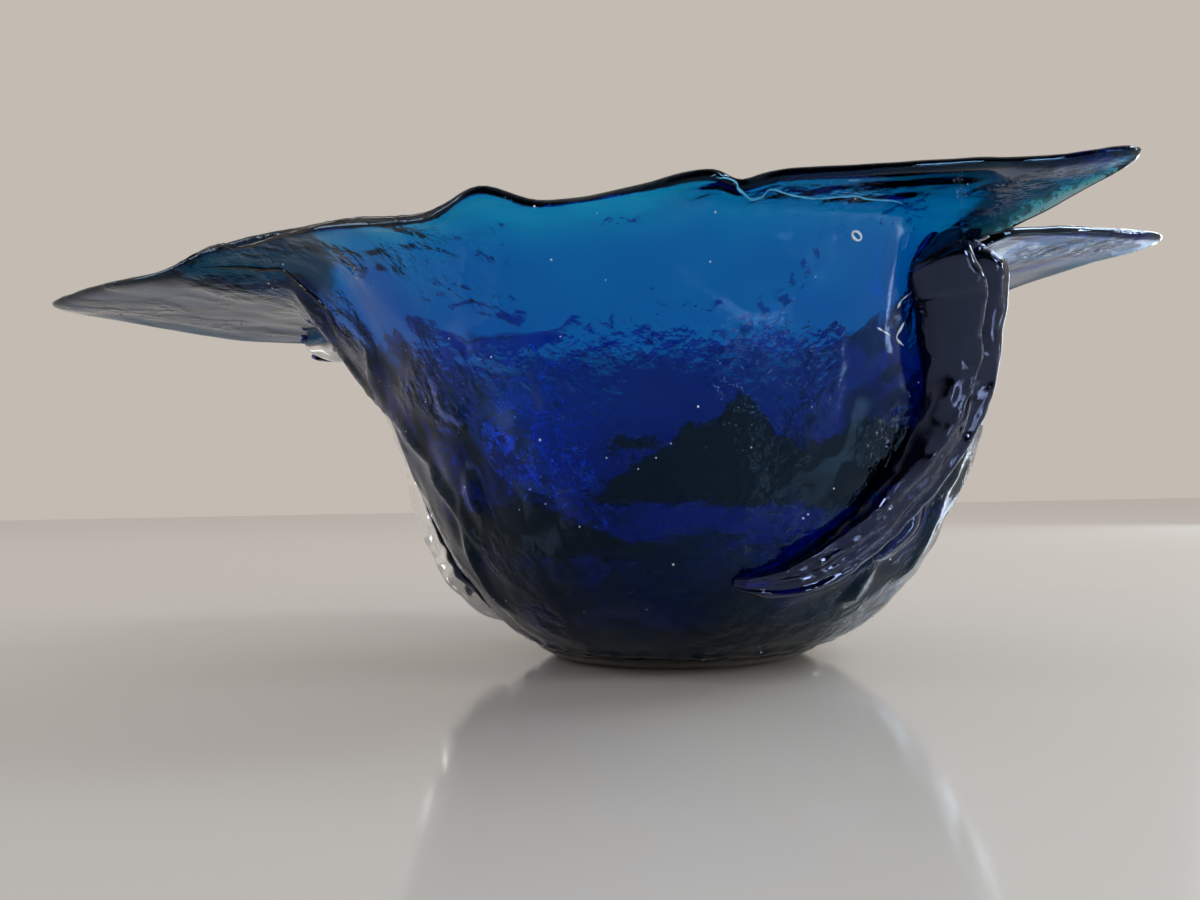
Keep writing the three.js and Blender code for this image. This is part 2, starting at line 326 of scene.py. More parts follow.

# %% [markdown]
# ## Painted shade in the bowl's glass
# The lower half of the bowl's front wall carries nearly black veils of painted shade, for
# the dark that shows through the lower glass. They have ragged edges and a flat lower side.
# Higher up lie rows of dark blots of painted shade along the far rim that shows through the
# front wall, and from there down the wall is darkened as painted shade, where the view
# crosses two walls. The body's two sides and the wings are darkened with painted shade too.
# An image of all this would need a flat map of the bowl. So each is a mask, from 0 to 1,
# worked out from the place itself, in metres of the object's own space, by a few sums and
# smooth steps. A noise moves the place that is looked up, which frays the edges.

# %% Frayed places and sums
FRAY_SCALE = 95
FRAY_REACH = 0.022
FRONT_WALL = (-0.02, -0.05)  # y where what lies on the front wall sets in, and is in full

tones = bowl_glass.node_tree


def plus(first, second):
    return sums(tones, "ADD", first, second)


def less(first, second):
    return sums(tones, "SUBTRACT", first, second)


def times(first, second):
    return sums(tones, "MULTIPLY", first, second)


def most(first, *others):
    """The largest of several masks or numbers."""
    for other in others:
        first = sums(tones, "MAXIMUM", first, other)
    return first


def reach(first, second):
    """How far away a place is that lies this much to the side and this much up."""
    return sums(tones, "SQRT", plus(times(first, first), times(second, second)))


def vectors(tree, operation, *values):
    """What a Vector Math node makes of its values."""
    return sums(tree, operation, *values, kind="ShaderNodeVectorMath")


place = add(tones, "ShaderNodeTexCoord").outputs["Object"]
fray = noise_at(tones, place, FRAY_SCALE, 5, Roughness=0.65).outputs["Color"]
fray = vectors(tones, "SUBTRACT", fray, (0.5, 0.5, 0.5))
fray = vectors(tones, "MULTIPLY", fray, (FRAY_REACH, FRAY_REACH, FRAY_REACH))
frayed_place = vectors(tones, "ADD", place, fray)
x, y, z = split(tones, frayed_place)
true_x, true_y, _ = split(tones, place)
in_front = ramp(tones, y, *FRONT_WALL)
print("edges fray by up to", FRAY_REACH / 2, "m")

# %% Veils of painted shade
# each: peak (x, z), slope to its left, slope to its right, height of its floor, softness
# painted shade: near-black veils on the lower front wall, and wisps near the foot, for the dark
# seen through the lower glass
SHADE_VEILS = (
    ((0.011, 0.094), 0.66, 0.75, 0.062, 0.0015),
    ((0.052, 0.088), 0.5, 0.2, 0.060, 0.002),
    ((-0.055, 0.064), 0.15, 0.35, 0.044, 0.003),
    ((-0.022, 0.084), 0.55, 0.3, 0.078, 0.002),
)
WISP_SCALE = 22
WISP_LEVELS = (0.5, 0.58)  # noise levels between which a wisp sets in
NEAR_FOOT = (0.062, 0.028)  # heights where the wisps set in, and are in full


def roof(peak, left_slope, right_slope, floor_height, soft):
    """1 inside a roof shape: under its two slopes and above its floor."""
    beside = less(x, peak[0])
    drop = most(times(beside, -left_slope), times(beside, right_slope))
    under = less(less(peak[1], drop), z)
    over = less(z, floor_height)
    return times(ramp(tones, under, 0, soft), ramp(tones, over, 0, soft))


wisps = ramp(tones, noise_at(tones, frayed_place, WISP_SCALE, 4).outputs[0], *WISP_LEVELS)
shade_veil = times(most(*(roof(*values) for values in SHADE_VEILS)), in_front)
shade_veil = most(shade_veil, times(wisps, ramp(tones, z, *NEAR_FOOT)))
print("veils:", len(SHADE_VEILS), "on the front wall, and wisps near the foot")

# %% Dark blots of painted shade
# each: start (x, z), end (x, z), width
# painted shade: dark blots along and near the line where the far rim shows through the front wall
SHADE_BLOTS = (
    ((-0.090, 0.110), (0.060, 0.109), 0.003),
    ((0.004, 0.106), (0.024, 0.121), 0.004),
    ((-0.040, 0.1135), (-0.026, 0.115), 0.0014),
    ((0.026, 0.127), (0.035, 0.131), 0.0016),
    ((0.056, 0.146), (0.064, 0.1475), 0.003),
)
SPECK_SCALE = 260
SPECK_LEVELS = (0.5, 0.56)


def streak(start, end, width):
    """1 along a straight line between two places, fading over its width."""
    run = Vector(end) - Vector(start)
    beside = less(x, start[0])
    over = less(z, start[1])
    along = plus(
        times(beside, run.x / run.length_squared), times(over, run.y / run.length_squared)
    )
    share = ramp(tones, along, 0, 1)
    away = reach(less(beside, times(share, run.x)), less(over, times(share, run.y)))
    return ramp(tones, away, width, width / 2)


specks = noise_at(tones, place, SPECK_SCALE, 3).outputs[0]
shade_blots = times(most(*(streak(*values) for values in SHADE_BLOTS)), ramp(tones, specks, *SPECK_LEVELS))
shade_blots = times(shade_blots, in_front)
print("flaws:", len(SHADE_BLOTS))

# %% The deeper band of painted shade
# painted shade: the front wall is darkened below the line where the far rim shows through, where
# the view crosses two walls
BAND_TOP = 0.107
BAND_RISES_FROM = 0.04  # from this x on, its top climbs towards the front strap
BAND_RISE = 0.7
BAND_RAGGED = 0.014
BAND_SOFT = 0.0006

rise = times(most(less(x, BAND_RISES_FROM), 0), BAND_RISE)
ragged = times(less(specks, 0.5), BAND_RAGGED)
top_line = plus(plus(rise, ragged), BAND_TOP)
band = times(ramp(tones, less(top_line, z), 0, BAND_SOFT), in_front)
print("deep band below", BAND_TOP, "m")

# %% Painted shade in the wings
# each: the distance at which the painted wing shade sets in, and that at which it is in full
# painted shade: the wings' glass is darkened towards grey, for the dim grey their undersides show
FAR_OUT = (0.140, 0.166)  # from the middle
RIGHT_OUT = (0.074, 0.083)  # to the right, only high up
LEFT_OUT = (0.117, 0.125)  # to the left, only high up
HIGH_UP = (0.132, 0.140)  # from the ground
RIGHT_TONE = (0, 0.05)  # to the right, where the right wings' painted shade takes over

beyond = most(ramp(tones, x, *RIGHT_OUT), ramp(tones, times(x, -1), *LEFT_OUT))
high_beyond = times(beyond, ramp(tones, z, *HIGH_UP))
wing_shade = most(ramp(tones, reach(true_x, true_y), *FAR_OUT), high_beyond)
on_right = ramp(tones, true_x, *RIGHT_TONE)
print("dusk from", FAR_OUT[0], "m out")

# %% Painted shade in the sides
LEFT_EDGE = -0.057  # x of the left side shade's edge low down
LEFT_BENDS = ((0.07, 0.5), (0.095, 0.5), (0.111, 1.8))  # height of a bend, slope it adds
LEFT_SOFT = 0.003
RIGHT_SIDE = (0.07, 0.09)  # x where the right side shade sets in, and is in full
RIGHT_TOP = (0.122, 0.108)  # heights between which it ends
SIDE_SHADE_SHARE = 0.9

# painted shade: the body is darkened on its two sides, where the view grazes its wall
edge = LEFT_EDGE
for height, slope in LEFT_BENDS:
    edge = less(edge, times(most(less(z, height), 0), slope))
left_side = ramp(tones, less(edge, x), 0, LEFT_SOFT)
right_side = times(ramp(tones, x, *RIGHT_SIDE), ramp(tones, z, *RIGHT_TOP))
side_shade = times(times(most(left_side, right_side), SIDE_SHADE_SHARE), less(1, wing_shade))
print("smoke on 2 sides, bent at", len(LEFT_BENDS), "heights on the left")

# %% The bowl's tones
# painted shade: these tones darken the bowl's colour where shade and the dark seen through the
# glass fall
LEFT_WING_SHADE = (0.20, 0.15, 0.155, 1)
RIGHT_WING_SHADE = (0.19, 0.13, 0.145, 1)
SIDE_SHADE = (0.12, 0.13, 0.16, 1)
TWO_WALL_SHADE = (0.5, 0.57, 0.62, 1)
SHADE_BLOT_TONE = (0.08, 0.14, 0.42, 1)
SHADE_VEIL_TONE = (0.002, 0.002, 0.004, 1)
LAYERS = ((side_shade, SIDE_SHADE), (band, TWO_WALL_SHADE), (shade_blots, SHADE_BLOT_TONE), (shade_veil, SHADE_VEIL_TONE))

tone = mixed(tones, wing_shade, CLEAR, mixed(tones, on_right, LEFT_WING_SHADE, RIGHT_WING_SHADE))
for mask, layer in LAYERS:
    tone = mixed(tones, mask, tone, layer)
put(tones, tone, tones.nodes["Principled BSDF"].inputs["Base Color"])
print("layers over the dusk:", len(LAYERS))

# %% [markdown]
# ## The bowl's surface
# Hot glass that is paddled and spun never comes out smooth: its wall is a little thicker
# here and thinner there, and each such place is a weak lens that bends what is seen
# through it. The frame's bowl gives the form. Its triangles are joined back to four-sided
# faces, Subdivision Surface rounds them, and a Geometry Nodes tree moves each point along
# its own normal by two noises: round dents all over, and ripples drawn out along the
# wings. A bump in the shader would bend the light too, but it leaves the outline smooth.
# Subdivision alone would also shrink the sharp tips, so every corner is first pushed out
# by as much as the rounding takes off.

# %% Blanks from the frame
WELD = 2e-6  # metres within which corners are one
FLATNESS = math.radians(60)  # two triangles that fold less than this may join
SQUARENESS = math.radians(179)  # and their corners may be this far from square


def blank(node, name):
    """A smooth, four-sided copy of a node of the frame, welded into one skin."""
    mesh = nodes[node].data.copy()
    mesh.materials.clear()
    work = bmesh.new()
    work.from_mesh(mesh)
    bmesh.ops.remove_doubles(work, verts=work.verts, dist=WELD)
    bmesh.ops.join_triangles(
        work,
        faces=work.faces,
        angle_face_threshold=FLATNESS,
        angle_shape_threshold=SQUARENESS,
    )
    work.to_mesh(mesh)
    fours = sum(len(f.verts) == 4 for f in work.faces)
    print(name, "faces", len(work.faces), "four-sided", fours)
    work.free()
    return in_scene(name, mesh)


def subdivide(piece, levels):
    """Round a piece with Subdivision Surface."""
    rounding = piece.modifiers.new("rounding", "SUBSURF")
    rounding.levels = levels
    rounding.render_levels = levels


def evaluated(piece):
    """The piece as its modifiers make it."""
    bpy.context.view_layer.update()
    return piece.evaluated_get(bpy.context.evaluated_depsgraph_get())


def rounded(piece, levels, passes):
    """Subdivide, with each corner pushed out by what the rounding would take off it."""
    subdivide(piece, levels)
    goals = [corner.co.copy() for corner in piece.data.vertices]
    for _ in range(passes):
        now = evaluated(piece).data
        moves = [goal - now.vertices[i].co for i, goal in enumerate(goals)]
        for corner, move in zip(piece.data.vertices, moves):
            corner.co += move
        piece.data.update()
    print(piece.name, "largest push", round(max(m.length for m in moves) * 1000, 2), "mm")


def smooth(mesh):
    mesh.polygons.foreach_set("use_smooth", [True] * len(mesh.polygons))


def applied(piece):
    """Turn what the modifiers make into the piece's plain mesh."""
    plain = bpy.data.meshes.new_from_object(evaluated(piece))
    piece.modifiers.clear()
    piece.data = plain
    smooth(plain)
    print(piece.name, "faces", len(plain.polygons))


# %% A tree with named inputs
def shape_tree(name, sizes, whole_numbers=()):
    """A Geometry Nodes tree that is given a mesh, its sizes and a material."""
    tree = bpy.data.node_groups.new(name, "GeometryNodeTree")
    tree.is_modifier = True
    inputs = [("Geometry", "Geometry")]
    inputs += [(label, "Float") for label in sizes]
    inputs += [(label, "Int") for label in whole_numbers]
    inputs += [("Material", "Material")]
    for label, kind in inputs:
        tree.interface.new_socket(label, in_out="INPUT", socket_type="NodeSocket" + kind)
    tree.interface.new_socket("Geometry", in_out="OUTPUT", socket_type="NodeSocketGeometry")
    return tree, add(tree, "NodeGroupInput").outputs


def end_tree(tree, shape, material):
    """Realize the instances of a shape, give it its material, and hand it out."""
    real = add(tree, "GeometryNodeRealizeInstances", Geometry=shape).outputs[0]
    dressed = add(tree, "GeometryNodeSetMaterial", Geometry=real, Material=material)
    add(tree, "NodeGroupOutput", Geometry=dressed.outputs[0])


def run_tree(piece, tree, values):
    """Run a tree over a piece. An input is set by the identifier that its name stands for."""
    modifier = piece.modifiers.new(tree.name, "NODES")
    modifier.node_group = tree
    for socket in tree.interface.items_tree:
        if socket.in_out == "INPUT" and socket.name in values:
            modifier[socket.identifier] = values[socket.name]
    applied(piece)


# %% Hot-worked skin
CALM_BAND = 0.035  # metres below the calm height over which the dents fade
CALM_SHARE = 0.2  # what is left of them above it
SIDES = (0.05, 0.09)  # distance from x = 0 where the side dents set in, and are in full

SKIN, given = shape_tree(
    "hot_worked_skin",
    (
        "Dent Depth",
        "Dent Size",
        "Side Dents",
        "Calm Above",
        "Ripple Depth",
        "Ripple Size",
        "Ripple Length",
    ),
)
at = add(SKIN, "GeometryNodeInputPosition").outputs[0]
normal = add(SKIN, "GeometryNodeInputNormal").outputs[0]


def wave(along, across, depth):
    """A noise that swings by the depth either way, with its size along x and across it."""
    size = add(SKIN, "ShaderNodeCombineXYZ", X=along, Y=across, Z=across).outputs[0]
    swing = noise_at(SKIN, vectors(SKIN, "DIVIDE", at, size), 1, 1).outputs[0]
    level = add(SKIN, "ShaderNodeMapRange", Value=swing, To_Min=-1, To_Max=1).outputs[0]
    return sums(SKIN, "MULTIPLY", level, depth)


dents = wave(given["Dent Size"], given["Dent Size"], given["Dent Depth"])
ripples = wave(given["Ripple Length"], given["Ripple Size"], given["Ripple Depth"])
at_x, _, at_z = split(SKIN, at)
fade = add(
    SKIN,
    "ShaderNodeMapRange",
    Value=sums(SKIN, "SUBTRACT", at_z, given["Calm Above"]),
    From_Min=-CALM_BAND,
    From_Max=0,
    To_Min=1,
    To_Max=CALM_SHARE,
)
rougher = add(
    SKIN,
    "ShaderNodeMapRange",
    Value=sums(SKIN, "ABSOLUTE", at_x),
    From_Min=SIDES[0],
    From_Max=SIDES[1],
    To_Min=1,
    To_Max=given["Side Dents"],
)
dents = sums(SKIN, "MULTIPLY", dents, sums(SKIN, "MULTIPLY", fade.outputs[0], rougher.outputs[0]))
height = sums(SKIN, "ADD", dents, ripples)
offset = add(SKIN, "ShaderNodeVectorMath", operation="SCALE", Vector=normal, Scale=height)
moved = add(
    SKIN, "GeometryNodeSetPosition", Geometry=given["Geometry"], Offset=offset.outputs[0]
)
end_tree(SKIN, moved.outputs[0], given["Material"])
print("skin:", len(SKIN.nodes), "nodes")

# %% The bowl
BOWL_SKIN = {
    "Dent Depth": 0.0011,
    "Dent Size": 0.020,
    "Side Dents": 2.2,
    "Calm Above": 0.125,
    "Ripple Depth": 0.0004,
    "Ripple Size": 0.008,
    "Ripple Length": 0.025,
    "Material": bowl_glass,
}

bowl = blank("bowl", "glass_bowl")
rounded(bowl, levels=2, passes=2)
run_tree(bowl, SKIN, BOWL_SKIN)

# %% [markdown]
# ## Folds drawn down the body
# Where the hot wall was pulled, its skin gathered in long soft folds, and they show best on
# the body's two sides. A noise can't place them, and sculpting them by hand can't be
# written down, so each fold is a line of a few places. Every corner of the bowl's mesh near
# such a line is raised along its own normal, less the farther it lies from the line. A
# search tree (KDTree) finds the nearest place of a line fast. Moving corners keeps the
# glass one closed wall, which its colour needs.

# %% Drawn folds
# degrees round z, mm from the middle, height in mm, down the body's two sides
FOLDS = (
    (
        (-155, 152, 144), (-157, 149, 141), (-158, 146, 136), (-161, 137, 126), (-164, 129, 115),
        (-162, 121, 104), (-157, 117, 98), (-153, 113, 91), (-151, 109, 82), (-146, 106, 75),
    ),
    ((-152, 127, 116), (-155, 124, 110), (-159, 121, 105)),
    ((-138, 116, 99), (-134, 114, 94), (-133, 112, 91)),
    (
        (-150, 108, 79), (-148, 104, 70), (-145, 99, 59),
        (-147, 93, 48), (-149, 86, 34), (-146, 77, 22),
    ),
    ((-141, 101, 64), (-144, 96, 55), (-142, 92, 46)),
    ((-135, 105, 73), (-137, 101, 66), (-137, 99, 60)),
    ((-40, 106, 58), (-43, 101, 51), (-49, 96, 43), (-54, 91, 38), (-62, 86, 34), (-76, 82, 30)),
    ((-49, 94, 40), (-50, 89, 33), (-50, 84, 27)),
    ((-36, 118, 88), (-34, 113, 71), (-35, 106, 55), (-35, 98, 41), (-36, 91, 31)),
)
FOLD_HEIGHT = 0.0024
FOLD_WIDTH = 0.0032
FOLD_REACH = 3 * FOLD_WIDTH  # farther than this from its line, a fold raises nothing
FOLD_STEPS = 24  # from each place of a fold to its next
FOLD_FADE = 6  # a sixth of the fold fades out at each of its ends
MM = 0.001


def polar(degrees, radius, height):
    turn = math.radians(degrees)
    return Vector((radius * math.cos(turn), radius * math.sin(turn), height))


def on_way(rows, share):
    """A place on the smooth curve through rows of numbers, at a share of its length."""
    span = share * (len(rows) - 1)
    first = min(int(span), len(rows) - 2)
    t = span - first
    picks = (max(0, min(len(rows) - 1, first + step)) for step in (-1, 0, 1, 2))
    a, b, c, d = (Vector(rows[pick]) for pick in picks)
    return b + 0.5 * t * (c - a + t * (2 * a - 5 * b + 4 * c - d + t * (3 * (b - c) + d - a)))


def draw_folds(piece):
    """Raise soft ridges along the folds. Each fades out at its two ends."""
    samples = []
    for rows in FOLDS:
        count = FOLD_STEPS * (len(rows) - 1)
        for step in range(count + 1):
            degrees, radius, height = on_way(rows, step / count)
            strength = min(1, FOLD_FADE * step / count, FOLD_FADE * (1 - step / count))
            samples.append((polar(degrees, radius * MM, height * MM), strength))
    near = KDTree(len(samples))
    for index, (spot, _) in enumerate(samples):
        near.insert(spot, index)
    near.balance()
    moves = []
    for corner in piece.data.vertices:
        _, index, distance = near.find(corner.co)
        if distance < FOLD_REACH:
            share = samples[index][1] * math.exp(-((distance / FOLD_WIDTH) ** 2))
            moves.append((corner, corner.normal * FOLD_HEIGHT * share))
    for corner, move in moves:
        corner.co += move
    piece.data.update()
    print("folds:", len(FOLDS), "raise", len(moves), "corners")


draw_folds(bowl)
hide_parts("bowl")
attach(bowl, "root")

# %% [markdown]
# ## The straps
# A strap is a gather of hot glass, dripped on at the rim and pulled down over the wall. It
# sinks against the wall, doubles over itself in two rolls with a groove between them, and
# its drag leaves long soft folds. A thick curve would hang off the wall here and cut into
# it there. So the strap is made as a height over the wall: rays find the wall under each
# point of a grid that follows the strap's run, and the rolls and folds are added on top.
# Where the wall swings out into a wing, the strap stays on its own line below it. The front
# strap ends in two round tips, where it was folded over the rim.

# %% The way of each strap
STRAP_WIDTH = 33 * MM
STRAP_HEIGHT = 11 * MM

# degrees round z, height in mm, share of the full width, of the full height, mm off the wall
FRONT_RUN = (
    (-82, 35.0, 0.10, 0.10, 0),
    (-78, 35.2, 0.25, 0.30, 0),
    (-70, 36.5, 0.42, 0.46, 0),
    (-61.5, 43, 0.54, 0.56, 0),
    (-54.5, 54, 0.60, 0.62, 0),
    (-49.5, 68, 0.64, 0.72, 0),
    (-46.5, 86, 0.72, 0.90, 1.0),
    (-46, 104, 0.80, 1.0, 3.5),
    (-47.5, 118, 0.92, 1.0, 6.5),
    (-49, 127, 1.02, 1.0, 8.5),
    (-50.3, 133, 1.12, 0.98, 8.5),
    (-51.0, 137, 1.16, 0.88, 7),
    (-51.4, 140.5, 1.14, 0.70, 5),
    (-51.6, 143.7, 1.08, 0.48, 3),
    (-51.8, 146.2, 1.0, 0.26, 1.8),
    (-52, 147.0, 0.9, 0.05, 0.3),
)
BACK_RUN = (
    (178, 14, 0.12, 0.12, 0),
    (178, 17, 0.40, 0.40, 0),
    (178, 25, 0.66, 0.66, 0),
    (176, 38, 0.84, 0.84, 0),
    (173, 56, 0.92, 0.80, 0),
    (169, 78, 1.0, 0.60, 0),
    (167, 102, 1.0, 0.55, 0),
    (166, 120, 1.0, 0.7, 0),
    (167, 129, 0.85, 0.8, 0),
    (168, 134, 0.66, 0.62, 5),
    (169, 135.6, 0.60, 0.60, 14),
    (169, 135.8, 0.50, 0.45, 22),
)
print("straps up to", STRAP_WIDTH, "m wide and", STRAP_HEIGHT, "m high")

# %% The wall under a point
OUTSIDE = 0.4  # metres from the middle, where the rays start
INNERMOST = 0.05  # and where they end
ROWS = 150  # of the grid, along a strap
FARTHER = 1.5 * MM  # the most that a strap swings out with the wall, from row to row

wall_tree = BVHTree.FromPolygons(
    [v.co for v in bowl.data.vertices], [tuple(p.vertices) for p in bowl.data.polygons]
)


def wall_radius(spot):
    """The wall's outer radius in the direction of a place and at its height, or None."""
    away = Vector((spot.x, spot.y, 0)).normalized()
    start = away * OUTSIDE + Vector((0, 0, spot.z))
    hit = wall_tree.ray_cast(start, -away, OUTSIDE - INNERMOST)[0]
    return hit.xy.length if hit else None


def middle_line(run, farthest):
    """For each row of a strap: its middle on the wall, its two shares, and its stand."""
    line = []
    radius = None
    for row in range(ROWS + 1):
        degrees, height, wide, thick, stand = on_way(run, row / ROWS)
        found = wall_radius(polar(degrees, 1, height * MM))
        limit = min(farthest, radius + FARTHER) if radius else farthest
        radius = min(found, limit) if found else radius
        line.append((polar(degrees, radius, height * MM), wide, thick, stand * MM))
    return line


print("wall:", len(bowl.data.polygons), "faces for the rays")

# %% Rolls and groove
GROOVE = 0.62  # depth of the groove between the rolls near the top, share of the height
FADED_GROOVE = 0.12  # and low down
GROOVE_DEEPENS = (100 * MM, 124 * MM)  # heights between which it deepens
GROOVE_PLACE = -0.02  # across the strap, from -1 to 1
GROOVE_WANDERS = 0.12
GROOVE_TURNS = 30  # how fast it wanders
EDGE = 0.15  # height of the strap's edge, share of the height
ROUND = 0.75  # below 1 a roll is fuller than a half sine


def share_of(value, low, high):
    """How far a value has come from low to high, from 0 to 1."""
    return min(1, max(0, (value - low) / (high - low)))


def roll_place(across, groove_at):
    """Where in its own roll a place across the strap lies, from 0 to 1."""
    if across < groove_at:
        return (across + 1) / (groove_at + 1)
    return (across - groove_at) / (1 - groove_at)


def roundness(within):
    """The rounded height of a roll, from 0 at its two sides to 1 in its middle."""
    return math.sin(math.pi * min(1, max(0, within))) ** ROUND


def rolls(across, groove_at, groove):
    """Height share of the two rolls at a place from -1 to 1 across the strap."""
    within = roll_place(across, groove_at)
    near_groove = within if across < groove_at else 1 - within
    base = EDGE + (1 - groove - EDGE) * near_groove
    return base + (1 - base) * roundness(within)


print("height of the groove near the top:", round(rolls(GROOVE_PLACE, GROOVE_PLACE, GROOVE), 2))

# %% Rings of a strap
COLUMNS = 36  # of the grid, across the strap's face
BACK_COLUMNS = 12
SEAT = 0.4 * MM  # off the wall
OUT_OF_ROW = (6 * MM, 2 * MM)  # how far a row's seat may lie inside and outside its middle
FINGERTIP = 9 * MM  # each roll ends in its own round tip, this much above the groove
DRAG = 0.28  # depth of the drag's folds, share of the height
DRAG_ACROSS = 3.2
DRAG_ALONG = 5
DRAG_PLACE = 0.3  # where its noise is read
DRAG_FADES = 0.3  # a power: the lower, the closer to the strap's edges the folds keep on
EDGE_STAND = 0.4  # what the edges of the rolls keep of the distance off the wall


def strap_ring(work, line, row, tips_at, lean):
    """A closed ring of corners at a row: over the two rolls, and back along the wall."""
    centre, wide, thick, stand = line[row]
    along = (line[min(ROWS, row + 1)][0] - line[max(0, row - 1)][0]).normalized()
    level_out = Vector((centre.x, centre.y, 0)).normalized()
    outward = level_out + Vector((0, 0, lean))
    sideways = along.cross(outward).normalized()
    outward.normalize()
    half = STRAP_WIDTH / 2 * wide
    rise = STRAP_HEIGHT * min(1, thick)
    tips = share_of(row / ROWS, *tips_at)
    groove = FADED_GROOVE + (GROOVE - FADED_GROOVE) * share_of(centre.z, *GROOVE_DEEPENS)
    groove_at = GROOVE_PLACE + GROOVE_WANDERS * noise.noise(centre * GROOVE_TURNS)

    def seat(across):
        """Where the strap's back lies, at a place across it."""
        spot = centre + sideways * half * across
        spot.z -= FINGERTIP * tips * (1 - roundness(roll_place(across, groove_at)))
        found = wall_radius(spot)
        level = centre.xy.length
        radius = min(found, level + OUT_OF_ROW[1]) if found else level
        radius = max(radius, level - OUT_OF_ROW[0])
        away = Vector((spot.x, spot.y, 0)).normalized()
        return away * (radius + SEAT) + Vector((0, 0, spot.z))

    ring = []
    for column in range(COLUMNS + 1):
        across = -1 + 2 * column / COLUMNS
        top = rolls(across, groove_at, groove)
        drag = noise.noise(Vector((across * DRAG_ACROSS, row / ROWS * DRAG_ALONG, DRAG_PLACE)))
        top *= 1 + DRAG * drag * (1 - abs(across)) ** DRAG_FADES
        full = roundness(roll_place(across, groove_at))
        off = stand * (EDGE_STAND + (1 - EDGE_STAND) * full)
        ring.append(work.verts.new(seat(across) + outward * rise * top + level_out * off))
    for column in range(BACK_COLUMNS + 1):
        ring.append(work.verts.new(seat(1 - 2 * column / BACK_COLUMNS)))
    return ring


# %% The two straps
TIPS = (0.62, 0.86)  # shares of the run over which the round tips form
NO_TIPS = (2, 3)  # past the run's end, so none form
STRAP_SKIN = {
    "Dent Depth": 0.0011,
    "Dent Size": 0.012,
    "Side Dents": 1.0,
    "Calm Above": 1.0,
    "Ripple Depth": 0.0003,
    "Ripple Size": 0.006,
    "Ripple Length": 0.006,
    "Material": strap_glass,
}


def strap(name, node, run, farthest, tips_at, lean):
    """A strap of glass along a run over the wall. It looks down where lean is below 0."""
    line = middle_line(run, farthest)
    work = bmesh.new()
    rings = [strap_ring(work, line, row, tips_at, lean) for row in range(ROWS + 1)]
    for lower, upper in zip(rings, rings[1:]):
        for index in range(len(lower)):
            following = (index + 1) % len(lower)
            work.faces.new((lower[index], lower[following], upper[following], upper[index]))
    work.faces.new(rings[0])
    work.faces.new(rings[-1])
    bmesh.ops.recalc_face_normals(work, faces=work.faces)
    mesh = bpy.data.meshes.new(name)
    work.to_mesh(mesh)
    work.free()
    made = in_scene(name, mesh)
    subdivide(made, 1)
    run_tree(made, SKIN, STRAP_SKIN)
    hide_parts(node)
    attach(made, "root")


strap(
    "laid_strap_front", "front_strap", FRONT_RUN, farthest=128 * MM, tips_at=TIPS, lean=-0.15
)
strap(
    "laid_strap_back", "back_strap", BACK_RUN, farthest=140 * MM, tips_at=NO_TIPS, lean=-0.25
)

# %% [markdown]
# ## Seeds, threads, flecks and a blister
# Hot work leaves small air bubbles, called seeds, under the skin of the glass; their white
# is a painted glint. Where the rim was folded back on itself, a thin bead of bright cyan
# runs along the fold's edge as a painted highlight. At the left the rim and the lip below it
# are thicker, and near-black threads along them are painted shade for the dark line that
# their edges show. A few white flecks and one ring-shaped blister beside the front strap
# carry painted glints. The seeds repeat, so Geometry Nodes scatter them over the bowl's
# skin with a fixed seed number. The rest are thin beads: curves through a few places, laid
# on the nearest skin and turned to meshes. A bump in the shader could fake them, but not
# their own glass or their edge in the light.

# %% Glass for beads
BEAD_GLASS = {
    "depth_colour": (0.9, 0.95, 1.0, 1),
    "density": 60,
    "gloss": 0.6,
    "glint": CLEAR,
    "ripple_scale": 200,
    "ripple_depth": 0.0001,
    "clear_share": 0.2,
}
# painted highlight: the bright cyan of the fold's thread stands in for the light along the fold
highlight_thread = glass("highlight_thread", tone=(0.12, 0.62, 1, 1), **BEAD_GLASS)
# painted glint: the white of the seeds, flecks and blister stands in for the light they catch
glint_bead = glass("glint_bead", tone=(0.85, 0.95, 1, 1), **BEAD_GLASS)
# painted shade: the near-black of the rim's and lip's threads stands in for the dark line along
# their edges
shade_thread = glass("shade_thread", tone=(0.004, 0.006, 0.012, 1), **BEAD_GLASS)
print("bead glasses:", highlight_thread.name, glint_bead.name, shade_thread.name)

# %% Seeds
SMALLEST_SEED = 0.3  # share of the largest radius
# the seeds are real bubbles; their white tone is a painted glint
SEED_VALUES = {
    "Per Square Metre": 1400.0,
    "Largest Radius": 0.0004,
    "Seed": 7,
    "Material": glint_bead,
}


def seed_tree():
    """Geometry Nodes: small round seeds at random places on a skin."""
    tree, given = shape_tree("scatter", ("Per Square Metre", "Largest Radius"), ("Seed",))
    points = add(
        tree,
        "GeometryNodeDistributePointsOnFaces",
        Mesh=given["Geometry"],
        Density=given["Per Square Metre"],
        Seed=given["Seed"],
    )
    drop = add(tree, "GeometryNodeMeshIcoSphere", Subdivisions=2, Radius=given["Largest Radius"])
    size = add(tree, "FunctionNodeRandomValue", data_type="FLOAT", Seed=given["Seed"])
    limits = [socket for socket in size.inputs if socket.type == "VALUE"]
    limits[0].default_value = SMALLEST_SEED
    limits[1].default_value = 1
    laid_out = add(
        tree,
        "GeometryNodeInstanceOnPoints",
        Points=points.outputs["Points"],
        Rotation=points.outputs["Rotation"],
        Instance=drop.outputs[0],
        Scale=[socket for socket in size.outputs if socket.type == "VALUE"][0],
    )
    end_tree(tree, laid_out.outputs[0], given["Material"])
    return tree


seeds = in_scene("seeds", bowl.data.copy())
run_tree(seeds, seed_tree(), SEED_VALUES)
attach(seeds, "root")

